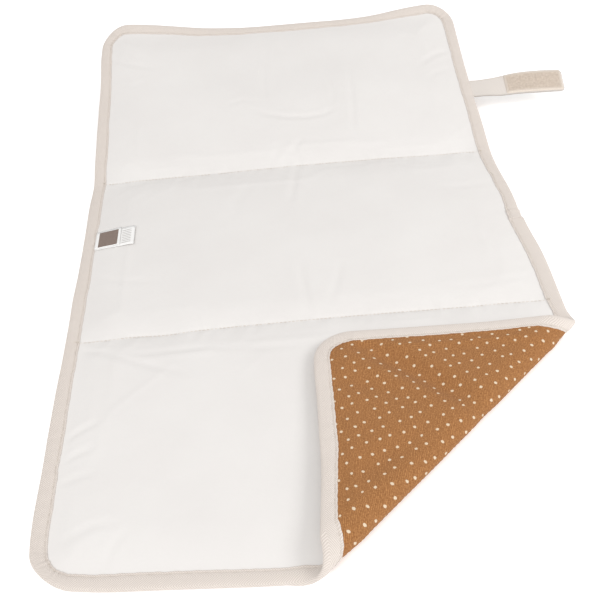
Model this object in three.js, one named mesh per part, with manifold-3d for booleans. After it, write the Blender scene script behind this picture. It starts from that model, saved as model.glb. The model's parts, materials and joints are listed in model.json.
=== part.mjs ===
// A padded travel changing pad, 400 x 700 mm, quilted into three panels that fold in thirds.
//
// A white coated sheet and a dotted jersey sheet hold a layer of wadding between them, and a
// herringbone tape binds their edge all the way round. A strap of the same tape stands out of the
// right edge of the head panel and carries a hook patch; its loop patch is sewn to the back.
// Two sewn-in labels lie on the middle panel. The pad is shown opened out, the head panel still
// lifted by its fold, and the bottom right corner turned back over the foot panel.
//
// Millimetres, +Z up. The origin is the centre of the middle panel's back face, which lies on the
// floor. +X runs across the pad towards the strap and +Y along it towards the head end.
//
// Sheet and tape are continuous on the real pad. Here they are cut where the pad bends, so that
// each rigid section can turn about its own fold line.

import * as THREE from "three";
import { mergeVertices } from "three/addons/utils/BufferGeometryUtils.js";
import Module from "manifold-3d";

const wasm = await Module();
wasm.setup();

// ---- Driving dimensions -------------------------------------------------------------------

const PAD_WIDTH = 400;
const PAD_LENGTH = 700;
const PAD_THICKNESS = 7; // over the padded middle of a panel
const CORNER_RADIUS = 30;

const SHEET = 0.5; // cover sheets
const PLY_GAP = 0.3; // air between neighbouring plies
const EDGE_LOW = 1.0; // underside of the flattened edge inside the binding
const EDGE_HIGH = 3.2; // top of the flattened edge
const TAPER = 10; // width of the slope from the flat edge up to full thickness

const TAPE = 0.7; // tape thickness
const TAPE_WIDTH = 25;
const BINDING_REACH = 12; // how far the folded tape reaches in over each face
const BINDING_HEIGHT = 4.2;

const SEAM_OVERLAP = 1.5; // the middle panel carries both quilted seams, this far past the stitch line
const CHANNEL = 3.2; // half the width of the flat channel along a quilted seam
const FOOT_GAP = 1.0; // open gap between the foot section and the middle one
const HEAD_GAP = 4.4; // wider, since laying the head panel flat closes it

const HEAD_REST_TILT = THREE.MathUtils.degToRad(13.5); // the head panel springs up off the floor
const SEAM_HEIGHT = 2; // level at which the tilted head panel still meets the seam

const CORNER_UP_EDGE = 196; // where the corner's fold axis crosses the right edge, from the bottom
const CORNER_ALONG_EDGE = 209.5; // where it crosses the bottom edge, from the right
const CORNER_FOLD_HEIGHT = 10; // height of that axis, and radius of the soft roll along it
const ROLL_REACH = 14.5; // the roll takes up the pad this far on each side of the axis
const ROLL_GAP = 1.0; // the roll is parted here, half to each section
const ROLL_STEPS = 5;
const CORNER_DROP = 6.5; // the turned corner slopes down this much from its roll to its tip

const THREAD = 0.5;
const STITCH_INSET = 1.5; // top-stitching, in from the binding's inner edge

const STRAP_REACH = 100; // outside the binding
const STRAP_CENTRE_ABOVE_SEAM = 98;
const STRAP_BEND_FROM_EDGE = 41.6; // second bending line; the first is beside the binding
const STRAP_CLEAR = 1.0; // each side of the bending line between the strap's two sections
const PATCH_WIDTH = 21;
const PATCH_LENGTH = 54;
const PATCH_THICKNESS = 1.8;
const HOOK_PATCH_MARGIN = 1.8; // from the patch to the strap's tip
const LOOP_PATCH_FROM_EDGE = 15;

const LABEL_CENTRE_BELOW_SEAM = 97;
const CARE_LABEL = { length: 35, width: 28, lift: 0.6 };
const WOVEN_LABEL = { length: 22, width: 26, lift: 1.3 };
const LABEL_THICKNESS = 0.35;

const LAP_LENGTH = 14; // where the binding's end laps its start
const LAP_CENTRE_BELOW_SEAM = 112;

// ---- Values that follow from them -----------------------------------------------------------

const HALF_WIDTH = PAD_WIDTH / 2;
const HALF_LENGTH = PAD_LENGTH / 2;
const SEAM_Y = PAD_LENGTH / 6; // stitch lines at plus and minus this, so the thirds are equal
const HEAD_START = SEAM_Y + SEAM_OVERLAP + HEAD_GAP; // where the head section begins
const FOOT_START = SEAM_Y + SEAM_OVERLAP + FOOT_GAP; // and the foot section, on the other side
const COVER_INSET = TAPE + PLY_GAP; // the covers stop inside the binding's fold
const STRAP_Y = SEAM_Y + STRAP_CENTRE_ABOVE_SEAM;
const LABEL_Y = SEAM_Y - LABEL_CENTRE_BELOW_SEAM;
const LAP_Y = SEAM_Y - LAP_CENTRE_BELOW_SEAM;
const FAR = 1000; // larger than the pad, for cutting tools

// ---- Materials ------------------------------------------------------------------------------

const finish = (color, roughness) => new THREE.MeshStandardMaterial({ color, roughness, metalness: 0 });
const material = {
  coatedWhite: finish(0xf0ece9, 0.55),
  dottedJersey: finish(0xb28052, 0.95),
  wadding: finish(0xf6f5f2, 1),
  tape: finish(0xe5dace, 0.9),
  thread: finish(0xe9e0d6, 0.8),
  patch: finish(0xdacdbf, 0.85),
  label: finish(0xf8f7f5, 0.7),
};

// ---- Solids ---------------------------------------------------------------------------------

// A closed geometry as a manifold solid, ready to be joined or cut.
function solid(geometry) {
  const bare = geometry.clone();
  bare.deleteAttribute("normal");
  bare.deleteAttribute("uv");
  const merged = mergeVertices(bare, 1e-4);
  return new wasm.Manifold(
    new wasm.Mesh({
      numProp: 3,
      vertProperties: merged.attributes.position.array,
      triVerts: new Uint32Array(merged.index.array),
    }),
  );
}

// A manifold solid, or a plain geometry, as a named mesh.
function piece(name, form, finishOf) {
  let geometry = form;
  if (!form.isBufferGeometry) {
    const cut = form.getMesh();
    geometry = new THREE.BufferGeometry();
    geometry.setAttribute("position", new THREE.BufferAttribute(new Float32Array(cut.vertProperties), 3));
    geometry.setIndex(new THREE.BufferAttribute(new Uint32Array(cut.triVerts), 1));
    geometry.computeVertexNormals();
  }
  const mesh = new THREE.Mesh(geometry, finishOf);
  mesh.name = name;
  return mesh;
}

// A rectangle with its own radius at each corner: { bottom, top } give the radii of those pairs.
function rectangle(xMin, xMax, yMin, yMax, { bottom = 0, top = 0 } = {}) {
  const shape = new THREE.Shape();
  shape.moveTo(xMin + bottom, yMin);
  shape.lineTo(xMax - bottom, yMin);
  if (bottom) shape.absarc(xMax - bottom, yMin + bottom, bottom, -Math.PI / 2, 0);
  shape.lineTo(xMax, yMax - top);
  if (top) shape.absarc(xMax - top, yMax - top, top, 0, Math.PI / 2);
  shape.lineTo(xMin + top, yMax);
  if (top) shape.absarc(xMin + top, yMax - top, top, Math.PI / 2, Math.PI);
  shape.lineTo(xMin, yMin + bottom);
  if (bottom) shape.absarc(xMin + bottom, yMin + bottom, bottom, Math.PI, 1.5 * Math.PI);
  return shape;
}

function prism(shape, low, high) {
  const options = { depth: high - low, bevelEnabled: false, curveSegments: 6 };
  return new THREE.ExtrudeGeometry(shape, options).translate(0, 0, low);
}

function block(xMin, xMax, yMin, yMax, zMin, zMax) {
  const box = new THREE.BoxGeometry(xMax - xMin, yMax - yMin, zMax - zMin);
  return box.translate((xMin + xMax) / 2, (yMin + yMax) / 2, (zMin + zMax) / 2);
}

// A profile drawn in x and z, run along y about the given centre.
function alongY(profile, centre, width) {
  const options = { depth: width, bevelEnabled: false, curveSegments: 6 };
  const run = new THREE.ExtrudeGeometry(profile, options);
  return run.rotateX(Math.PI / 2).translate(0, centre + width / 2, 0);
}

// The whole pad's outline, moved in by inset.
function padOutline(inset) {
  const radius = CORNER_RADIUS - inset;
  return rectangle(
    -HALF_WIDTH + inset,
    HALF_WIDTH - inset,
    -HALF_LENGTH + inset,
    HALF_LENGTH - inset,
    { bottom: radius, top: radius },
  );
}

// A panel's outline. inset moves its outer edges in; head, middle and foot give the distance from
// the stitch line to where each panel's outline ends there.
const panelOutline = {
  head: (inset, start) =>
    rectangle(-HALF_WIDTH + inset, HALF_WIDTH - inset, start, HALF_LENGTH - inset, {
      top: CORNER_RADIUS - inset,
    }),
  middle: (inset, end) => rectangle(-HALF_WIDTH + inset, HALF_WIDTH - inset, -end, end),
  foot: (inset, start) =>
    rectangle(-HALF_WIDTH + inset, HALF_WIDTH - inset, -HALF_LENGTH + inset, -start, {
      bottom: CORNER_RADIUS - inset,
    }),
};
const flatEnd = { head: HEAD_START, middle: SEAM_Y + SEAM_OVERLAP, foot: FOOT_START };
const paddedEnd = {
  head: Math.max(HEAD_START, SEAM_Y + CHANNEL) + TAPER,
  middle: SEAM_Y - CHANNEL - TAPER,
  foot: SEAM_Y + CHANNEL + TAPER,
};

// A whole panel from face to face: a flat edge for the binding and the seams, and a padded
// middle that slopes up and down from it. lift moves it up, for cutting one ply from the next.
function paddedForm(panel, lift = 0) {
  const outline = panelOutline[panel];
  const padded = outline(BINDING_REACH + PLY_GAP + TAPER, paddedEnd[panel]);
  const level = (EDGE_LOW + EDGE_HIGH) / 2;
  const rim = 0.1; // half the height of the padded middle's upright rim
  const bevelled = (rise) =>
    solid(
      new THREE.ExtrudeGeometry(padded, {
        depth: 2 * rim,
        bevelThickness: rise - rim,
        bevelSize: TAPER,
        bevelSegments: 1,
        curveSegments: 6,
      }).translate(0, 0, level - rim + lift),
    );
  const above = solid(block(-FAR, FAR, -FAR, FAR, level + lift, FAR));
  return solid(prism(outline(COVER_INSET, flatEnd[panel]), EDGE_LOW + lift, EDGE_HIGH + lift))
    .add(bevelled(level))
    .add(bevelled(PAD_THICKNESS - level).intersect(above));
}

// The three plies of a panel. Each face's sheet is what is left when the form is moved by one
// sheet, and the wadding is what the form shares with itself moved both ways.
function plies(panel) {
  const form = paddedForm(panel);
  const clear = SHEET + PLY_GAP;
  return {
    top_cover: form.subtract(paddedForm(panel, -SHEET)),
    wadding: paddedForm(panel, -clear).intersect(paddedForm(panel, clear)),
    back_cover: form.subtract(paddedForm(panel, SHEET)),
  };
}

const plyMaterial = {
  top_cover: material.coatedWhite,
  wadding: material.wadding,
  back_cover: material.dottedJersey,
};

// The tape folded round the whole edge: a ring of U section.
function bindingRing() {
  return solid(prism(padOutline(0), 0, BINDING_HEIGHT))
    .subtract(solid(prism(padOutline(BINDING_REACH), -1, BINDING_HEIGHT + 1)))
    .subtract(solid(prism(padOutline(TAPE), TAPE, BINDING_HEIGHT - TAPE)));
}

// The row of top-stitching that closes the tape, as one raised thread.
function stitchRing() {
  const outer = BINDING_REACH - STITCH_INSET - THREAD / 2;
  const low = BINDING_HEIGHT + PLY_GAP;
  return solid(prism(padOutline(outer), low, low + THREAD)).subtract(
    solid(prism(padOutline(outer + THREAD), low - 1, low + THREAD + 1)),
  );
}

// ---- The turned corner's fold line ----------------------------------------------------------

const foldStart = new THREE.Vector2(HALF_WIDTH - CORNER_ALONG_EDGE, -HALF_LENGTH);
const foldEnd = new THREE.Vector2(HALF_WIDTH, -HALF_LENGTH + CORNER_UP_EDGE);
const foldAlong = foldEnd.clone().sub(foldStart).normalize();
const foldOut = new THREE.Vector2(foldAlong.y, -foldAlong.x); // from the fold towards the corner

// A strip along the fold line, between two distances out from it.
function strip(from, to) {
  const point = (along, out) =>
    foldStart.clone().addScaledVector(foldAlong, along).addScaledVector(foldOut, out);
  const corners = [point(-FAR, from), point(-FAR, to), point(FAR, to), point(FAR, from)];
  return solid(prism(new THREE.Shape(corners), -FAR, FAR));
}

const outFromFold = (point) => new THREE.Vector2(point.x, point.y).sub(foldStart).dot(foldOut);

// Splits triangles, given as a flat list of corners, where they cross the line at one distance
// out from the fold.
function splitAt(corners, distance) {
  const made = [];
  for (let i = 0; i < corners.length; i += 3) {
    const triangle = corners.slice(i, i + 3);
    const beyond = triangle.map((corner) => {
      const past = outFromFold(corner) - distance;
      return Math.abs(past) < 1e-4 ? 0 : past;
    });
    const signs = beyond.every((past) => past === 0) ? [1] : [1, -1];
    for (const sign of signs) {
      const polygon = [];
      triangle.forEach((corner, k) => {
        const here = sign * beyond[k];
        const next = sign * beyond[(k + 1) % 3];
        if (here >= 0) polygon.push(corner);
        if (here * next < 0) {
          polygon.push(corner.clone().lerp(triangle[(k + 1) % 3], here / (here - next)));
        }
      });
      for (let k = 2; k < polygon.length; k += 1) made.push(polygon[0], polygon[k - 1], polygon[k]);
    }
  }
  return made;
}

// Lifts a point of the flat pad beside the fold on to its quarter of the roll, whose centre is
// ROLL_REACH from the fold axis on the given side: -1 for the foot section, 1 for the corner.
function liftOnRoll(point, side) {
  const fromCentre = ROLL_REACH - side * outFromFold(point);
  if (fromCentre <= 0) return point;
  const angle = (fromCentre / ROLL_REACH) * (Math.PI / 2);
  const radius = CORNER_FOLD_HEIGHT - point.z;
  const shift = side * (fromCentre - radius * Math.sin(angle));
  return new THREE.Vector3(
    point.x + shift * foldOut.x,
    point.y + shift * foldOut.y,
    CORNER_FOLD_HEIGHT - radius * Math.cos(angle),
  );
}

// One section's share of a form that crosses the fold line: flat as far as the roll, then bent up
// round it in narrow facets.
function rolled(form, side) {
  const share = form.intersect(side > 0 ? strip(0, FAR) : strip(-FAR, 0));
  const mesh = share.getMesh();
  let corners = [];
  for (const v of mesh.triVerts) corners.push(new THREE.Vector3().fromArray(mesh.vertProperties, 3 * v));
  for (let i = 1; i <= ROLL_STEPS; i += 1) corners = splitAt(corners, (side * ROLL_REACH * i) / ROLL_STEPS);
  const geometry = new THREE.BufferGeometry().setFromPoints(corners.map((point) => liftOnRoll(point, side)));
  const below = block(-FAR, FAR, -FAR, FAR, -FAR, CORNER_FOLD_HEIGHT - ROLL_GAP / 2);
  return solid(geometry).intersect(solid(below));
}

// ---- Regions of the folds, for cutting the ring-shaped pieces ---------------------------------

const region = {
  head: solid(block(-FAR, FAR, HEAD_START, FAR, -FAR, FAR)),
  foot: solid(block(-FAR, FAR, -FAR, -FOOT_START, -FAR, FAR)),
  middle: solid(block(-FAR, FAR, -SEAM_Y - SEAM_OVERLAP, SEAM_Y + SEAM_OVERLAP, -FAR, FAR)),
  left: solid(block(-FAR, HALF_WIDTH / 2, -FAR, FAR, -FAR, FAR)),
  right: solid(block(HALF_WIDTH / 2, FAR, -FAR, FAR, -FAR, FAR)),
};

// ---- Sections of the pad ----------------------------------------------------------------------

const binding = bindingRing();
const stitching = stitchRing();

// Adds the binding and its stitching, each cut to one section by the given function.
function addEdge(group, suffix, cutTo) {
  group.add(piece(`binding_${suffix}`, cutTo(binding), material.tape));
  group.add(piece(`binding_stitch_${suffix}`, cutTo(stitching), material.thread));
}

function addPlies(group, suffix, forms) {
  for (const [ply, form] of Object.entries(forms)) {
    group.add(piece(`${ply}_${suffix}`, form, plyMaterial[ply]));
  }
}

// A quilted seam: the thread lies in the channel of the top cover, from binding to binding.
function quiltStitch(name, y) {
  const end = HALF_WIDTH - BINDING_REACH - PLY_GAP;
  const low = EDGE_HIGH + PLY_GAP;
  return piece(name, block(-end, end, y - THREAD / 2, y + THREAD / 2, low, low + THREAD), material.thread);
}

// The binding's folded end, lapped over its start on the right edge: over the top and down the side.
function bindingLap() {
  const outer = HALF_WIDTH + PLY_GAP + TAPE;
  const top = BINDING_HEIGHT + THREAD + 2 * PLY_GAP + TAPE;
  const over = HALF_WIDTH - BINDING_REACH;
  const profile = new THREE.Shape([
    new THREE.Vector2(over, top),
    new THREE.Vector2(over, top - TAPE),
    new THREE.Vector2(outer - TAPE, top - TAPE),
    new THREE.Vector2(outer - TAPE, 0),
    new THREE.Vector2(outer, 0),
    new THREE.Vector2(outer, top),
  ]);
  return piece("binding_lap", alongY(profile, LAP_Y, LAP_LENGTH), material.tape);
}

function middlePanel() {
  const group = new THREE.Group();
  addPlies(group, "middle", plies("middle"));
  addEdge(group, "middle_left", (ring) => ring.intersect(region.middle).intersect(region.left));
  addEdge(group, "middle_right", (ring) => ring.intersect(region.middle).intersect(region.right));
  group.add(bindingLap());
  group.add(quiltStitch("quilt_stitch_head", SEAM_Y));
  group.add(quiltStitch("quilt_stitch_foot", -SEAM_Y));
  return group;
}

// A label sewn in at the left binding: it climbs the padded slope, then lies flat on the panel.
function label(name, { length, width, lift }) {
  const root = -HALF_WIDTH + BINDING_REACH + PLY_GAP + 0.1;
  const crest = root + TAPER;
  const low = EDGE_HIGH + 1 + lift;
  const high = PAD_THICKNESS - PLY_GAP + lift;
  const profile = new THREE.Shape([
    new THREE.Vector2(root, low),
    new THREE.Vector2(crest, high),
    new THREE.Vector2(root + length, high),
    new THREE.Vector2(root + length, high + LABEL_THICKNESS),
    new THREE.Vector2(crest, high + LABEL_THICKNESS),
    new THREE.Vector2(root, low + LABEL_THICKNESS),
  ]);
  return piece(name, alongY(profile, LABEL_Y, width), material.label);
}

function labels() {
  const group = new THREE.Group();
  group.add(label("care_label", CARE_LABEL));
  group.add(label("woven_label", WOVEN_LABEL));
  return group;
}

// A hook or loop patch with the ring of stitching that hems it to its ground.
function sewnPatch(name, xMin, y, zMin, facing) {
  const xMax = xMin + PATCH_LENGTH;
  const outline = (out) =>
    rectangle(xMin - out, xMax + out, y - PATCH_WIDTH / 2 - out, y + PATCH_WIDTH / 2 + out);
  const ground = facing > 0 ? zMin : zMin + PATCH_THICKNESS - THREAD;
  const near = PLY_GAP;
  const ring = solid(prism(outline(near + THREAD), ground, ground + THREAD)).subtract(
    solid(prism(outline(near), ground - 1, ground + THREAD + 1)),
  );
  return [
    piece(name, prism(outline(0), zMin, zMin + PATCH_THICKNESS), material.patch),
    piece(`${name}_stitch`, ring, material.thread),
  ];
}

// The strap is one tape folded back at its tip, so it is two layers thick.
const strapMiddle = BINDING_HEIGHT / 2;
const strapLow = strapMiddle - TAPE - PLY_GAP / 2;
const strapHigh = strapMiddle + TAPE + PLY_GAP / 2;
const strapBendX = HALF_WIDTH + STRAP_BEND_FROM_EDGE;
const strapTipX = HALF_WIDTH + STRAP_REACH;

function strapBase() {
  const group = new THREE.Group();
  const layer = (name, low) =>
    piece(
      name,
      block(
        HALF_WIDTH + PLY_GAP + 0.2,
        strapBendX - STRAP_CLEAR,
        STRAP_Y - TAPE_WIDTH / 2,
        STRAP_Y + TAPE_WIDTH / 2,
        low,
        low + TAPE,
      ),
      material.tape,
    );
  group.add(layer("strap_base_lower", strapLow));
  group.add(layer("strap_base_upper", strapHigh - TAPE));
  return group;
}

function strapEnd() {
  const group = new THREE.Group();
  const start = strapBendX + STRAP_CLEAR;
  const bend = (strapHigh - strapLow) / 2;
  const hairpin = new THREE.Shape();
  hairpin.moveTo(start, strapLow);
  hairpin.lineTo(strapTipX - bend, strapLow);
  hairpin.absarc(strapTipX - bend, strapLow + bend, bend, -Math.PI / 2, Math.PI / 2);
  hairpin.lineTo(start, strapHigh);
  hairpin.lineTo(start, strapHigh - TAPE);
  hairpin.lineTo(strapTipX - bend, strapHigh - TAPE);
  hairpin.lineTo(strapTipX - bend, strapLow + TAPE);
  hairpin.lineTo(start, strapLow + TAPE);
  group.add(piece("strap_end", alongY(hairpin, STRAP_Y, TAPE_WIDTH), material.tape));
  const patchStart = strapTipX - HOOK_PATCH_MARGIN - PATCH_LENGTH;
  for (const part of sewnPatch("hook_patch", patchStart, STRAP_Y, strapHigh + PLY_GAP, 1)) group.add(part);
  return group;
}

function headPanel() {
  const group = new THREE.Group();
  addPlies(group, "head", plies("head"));
  addEdge(group, "head", (ring) => ring.intersect(region.head));
  const patchStart = -HALF_WIDTH + LOOP_PATCH_FROM_EDGE;
  const patchLevel = -PLY_GAP - PATCH_THICKNESS;
  for (const part of sewnPatch("loop_patch", patchStart, STRAP_Y, patchLevel, -1)) group.add(part);
  group.add(strapBase());
  group.add(strapEnd());
  return group;
}

function footPanel() {
  const group = new THREE.Group();
  const forms = plies("foot");
  for (const ply of Object.keys(forms)) forms[ply] = rolled(forms[ply], -1);
  addPlies(group, "foot", forms);
  addEdge(group, "foot_left", (ring) => rolled(ring.intersect(region.foot).intersect(region.left), -1));
  addEdge(group, "foot_right", (ring) => rolled(ring.intersect(region.foot).intersect(region.right), -1));
  return group;
}

// The corner as it lies flat, before it is turned over.
function cornerSection() {
  const group = new THREE.Group();
  const forms = plies("foot");
  for (const ply of Object.keys(forms)) forms[ply] = rolled(forms[ply], 1);
  addPlies(group, "corner", forms);
  addEdge(group, "corner", (ring) => rolled(ring.intersect(region.foot), 1));
  return group;
}

// Turns what a group holds about a line through a point.
function turned(content, point, axis, angle) {
  const pivot = new THREE.Group();
  pivot.position.copy(point);
  pivot.quaternion.setFromAxisAngle(axis, angle);
  content.position.copy(point).negate();
  pivot.add(content);
  return pivot;
}

// ---- Assembly -----------------------------------------------------------------------------------

const pad = new THREE.Group();
pad.add(middlePanel());
pad.add(labels());
pad.add(footPanel());

const headSeam = new THREE.Vector3(0, SEAM_Y, SEAM_HEIGHT);
pad.add(turned(headPanel(), headSeam, new THREE.Vector3(1, 0, 0), HEAD_REST_TILT));

// The turned corner lies upside down on the foot panel. Its roll lifts it along the fold line, so
// it slopes down to its tip, which rests on the top cover.
const cornerDepth = (CORNER_UP_EDGE * CORNER_ALONG_EDGE) / Math.hypot(CORNER_UP_EDGE, CORNER_ALONG_EDGE);
const cornerTurn = Math.PI + Math.atan2(CORNER_DROP, cornerDepth);
const cornerFold = new THREE.Vector3(foldStart.x, foldStart.y, CORNER_FOLD_HEIGHT);
const cornerAxis = new THREE.Vector3(foldAlong.x, foldAlong.y, 0);
pad.add(turned(cornerSection(), cornerFold, cornerAxis, -cornerTurn));

export default pad;
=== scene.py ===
"""A padded changing pad lying open: quilted white top, dotted jersey back, herringbone binding,
a closing strap, two labels, and one corner turned over.

Every layer is first laid out flat, in millimetres, with the fabric shaped by cloth simulation.
settle() then lifts the head panel and rolls the corner over, and the layer is cut into pieces."""

import math

import bpy
import numpy as np
from mathutils import Matrix, Vector
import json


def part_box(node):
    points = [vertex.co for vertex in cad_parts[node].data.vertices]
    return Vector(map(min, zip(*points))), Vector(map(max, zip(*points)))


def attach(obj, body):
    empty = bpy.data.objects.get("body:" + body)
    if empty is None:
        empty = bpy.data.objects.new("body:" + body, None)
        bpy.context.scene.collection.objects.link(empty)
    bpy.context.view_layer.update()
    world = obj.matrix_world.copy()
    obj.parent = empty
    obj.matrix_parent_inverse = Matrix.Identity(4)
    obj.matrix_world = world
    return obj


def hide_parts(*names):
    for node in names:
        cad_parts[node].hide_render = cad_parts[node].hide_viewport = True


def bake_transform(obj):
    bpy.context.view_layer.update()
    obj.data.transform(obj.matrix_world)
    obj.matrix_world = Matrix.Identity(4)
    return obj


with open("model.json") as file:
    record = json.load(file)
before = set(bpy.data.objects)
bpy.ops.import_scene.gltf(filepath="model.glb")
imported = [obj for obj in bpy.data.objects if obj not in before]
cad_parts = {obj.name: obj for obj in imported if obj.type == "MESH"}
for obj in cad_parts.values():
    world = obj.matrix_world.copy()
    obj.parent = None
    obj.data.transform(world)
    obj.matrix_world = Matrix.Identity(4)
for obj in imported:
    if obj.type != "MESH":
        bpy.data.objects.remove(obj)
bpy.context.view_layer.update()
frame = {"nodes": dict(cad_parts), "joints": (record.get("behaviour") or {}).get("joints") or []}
MM = 0.001


# ---- Sizes from the frame, in millimetres ----


def box(node):
    low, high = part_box(node)
    return np.array(low) / MM, np.array(high) / MM


joints = {joint["name"]: joint for joint in frame["joints"]}


def pivot(joint):
    return np.array(joints[joint]["pos_m"]) / MM


binding_low, binding_high = box("binding_middle_left")
HALF_WIDTH = -binding_low[0]
REACH = binding_high[0] + HALF_WIDTH  # of the binding over each face
EDGE = binding_high[2]  # height of the bound edge
SEAM = sum(corner[1] for corner in box("quilt_stitch_head")) / 2
HALF_LENGTH = 3 * SEAM
THICK = box("top_cover_middle")[1][2]
SHEET, TAPE = 0.4, 0.35  # thickness of the cover sheets and of the binding
RADIUS = 30.0  # of the pad's corners
FLANGE = 2.9  # top of the flattened edge that the binding grips
TILT = math.radians(-joints["head_fold"]["range_deg"][0])
SEAM_LEVEL = 2.0  # the tilted head panel still meets the seam at this height

fold_point = pivot("corner_turn")
FOLD_LEVEL = fold_point[2]
fold_along = np.array(joints["corner_turn"]["axis"][:2])
fold_along /= np.linalg.norm(fold_along)
fold_out = np.array([fold_along[1], -fold_along[0]])
ROLL = 14.5  # the roll takes up the pad this far on each side of its axis
ROLL_OUT = 6.2  # its outermost line lies this much further out than a true half circle's
FOLD_DROP = math.radians(2.6)  # the corner slopes down from its roll to its tip

random = np.random.default_rng(7)


def ramp(value, low, high):
    t = np.clip((np.asarray(value, float) - low) / (high - low), 0, 1)
    return t * t * (3 - 2 * t)


def bell(distance, width):
    """1 at no distance, falling smoothly to 0 beyond the width."""
    return np.exp(-((distance / width) ** 2))


def swell(distance, width):
    """Rises from 0 at a seam to 1 at the given width, steep first, as stuffing does."""
    t = np.clip(np.asarray(distance, float) / width, 0, 1)
    return t * (2 - t)


def noise_line(length, step):
    """A smooth wandering value between about -1 and 1, as a function of distance."""
    knots = random.uniform(-1, 1, int(length / step) + 8)

    def value(at):
        t = np.asarray(at, float) / step + 3
        i = np.clip(np.floor(t).astype(int), 1, len(knots) - 3)
        f = ramp(t - i, 0, 1)
        return knots[i] * (1 - f) + knots[i + 1] * f

    return value


def noise_field(step, seed):
    """Smooth noise over the pad, from a lattice of the given spacing."""
    size = int(2 * HALF_LENGTH / step) + 8
    lattice = np.random.default_rng(seed).uniform(-1, 1, (size, size))

    def value(x, y):
        u, v = ((side + HALF_LENGTH) / step + 2 for side in (x, y))
        i, j = (np.clip(np.floor(t).astype(int), 0, size - 2) for t in (u, v))
        f, g = ramp(u - i, 0, 1), ramp(v - j, 0, 1)
        low, high = (lattice[i, k] * (1 - f) + lattice[i + 1, k] * f for k in (j, j + 1))
        return low * (1 - g) + high * g

    return value


def running_total(steps, axis=0):
    return np.insert(np.cumsum(steps, axis=axis), 0, 0, axis=axis)


def spots(x, y, z):
    """Places of shape (..., 3) from coordinates that may be arrays or single numbers."""
    return np.stack(np.broadcast_arrays(x, y, z), -1)


def flat_uv(u, v):
    """Places on the cloth in metres, from distances in millimetres."""
    return np.stack(np.broadcast_arrays(u, v), -1).reshape(-1, 2) * MM


def inset(x, y):
    """Distance in from the pad's outer edge."""
    ax, ay = np.abs(x), np.abs(y)
    straight = np.minimum(HALF_WIDTH - ax, HALF_LENGTH - ay)
    cx, cy = ax - (HALF_WIDTH - RADIUS), ay - (HALF_LENGTH - RADIUS)
    return np.where((cx > 0) & (cy > 0), RADIUS - np.hypot(cx, cy), straight)


def from_seam(y):
    return np.abs(np.abs(y) - SEAM)


def out_from_fold(x, y):
    return (x - fold_point[0]) * fold_out[0] + (y - fold_point[1]) * fold_out[1]


# ---- From the flat pad to how it lies ----

BEND = 16.0  # half the length over which the head panel's tilt is taken up
BEND_STEP = 0.25
bend_at = np.arange(-HALF_LENGTH - 20, HALF_LENGTH + 20, BEND_STEP)
bend_slope = TILT * ramp(bend_at, SEAM - BEND, SEAM + BEND)
bend_y = running_total(np.cos(bend_slope[:-1]) * BEND_STEP) + bend_at[0]
bend_z = running_total(np.sin(bend_slope[:-1]) * BEND_STEP)
seam_wander = noise_line(2 * HALF_WIDTH, 27.0)


def stray(x, y):
    """How a soft pad's outline and its seams depart from true straight lines."""
    right, left, low = ramp(x, 60, 200), ramp(-x, 20, 200), ramp(-y, 220, 350)
    out, seam = out_from_fold(x, y), from_seam(y)
    before_fold = 1 - ramp(out, -5, 60)
    across = right * (3.4 * ramp(-y, -12, 50) * before_fold + 3.0 * bell(y - 40, 36))
    along = low * (4.0 * left - 5.0 * ramp(x, -170, 20) * before_fold)
    along -= 5.0 * np.clip(out / 110, 0, 1) * ramp(-y, 240, 350)
    along += 4.5 * ramp(-x, 20, 170) * ramp(y, 240, 350)
    along += 3.4 * bell(x - 10, 110) * bell(seam, 24)
    wander = 0.9 * seam_wander(x + HALF_WIDTH + 60 * (y > 0)) * bell(seam, 14)
    along += wander * ramp(HALF_WIDTH - np.abs(x), 0, 14)
    foot_tuck = bell(x + 200, 34) * bell(y + 350, 34)
    head_tuck = bell(x + 200, 26) * bell(y - 350, 26)
    return across + 4.0 * foot_tuck + 2.0 * head_tuck, along + 5.0 * foot_tuck


def curl(x, y):
    """How far the head panel's free edge and its corners turn up, and its middle sinks."""
    edge = np.clip((y - 322) / 28, 0, 1) ** 2
    middle = 1 - ramp(np.abs(x - 15), 40, 190)
    hollow = ramp(y, 215, 290) * (1 - ramp(y, 300, 345))
    corner = ramp(y, 235, 350) * (6.6 * ramp(-x, 70, 200) + 4.5 * ramp(x, 90, 200))
    return 5.5 * edge * (1 - middle) + corner - middle * (3.0 * hollow + 1.5 * ramp(y, 300, 350))


def sag(x, y):
    """How far the turned corner sinks inside its stiffer bound edge, most of all near the fold."""
    depth = 2.4 + 1.6 * ramp(x - 2 * y, 560, 480) + 1.6 * bell(x - 190, 40) * bell(y + 185, 45)
    return depth * ramp(inset(x, y), 3, 30)


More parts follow.
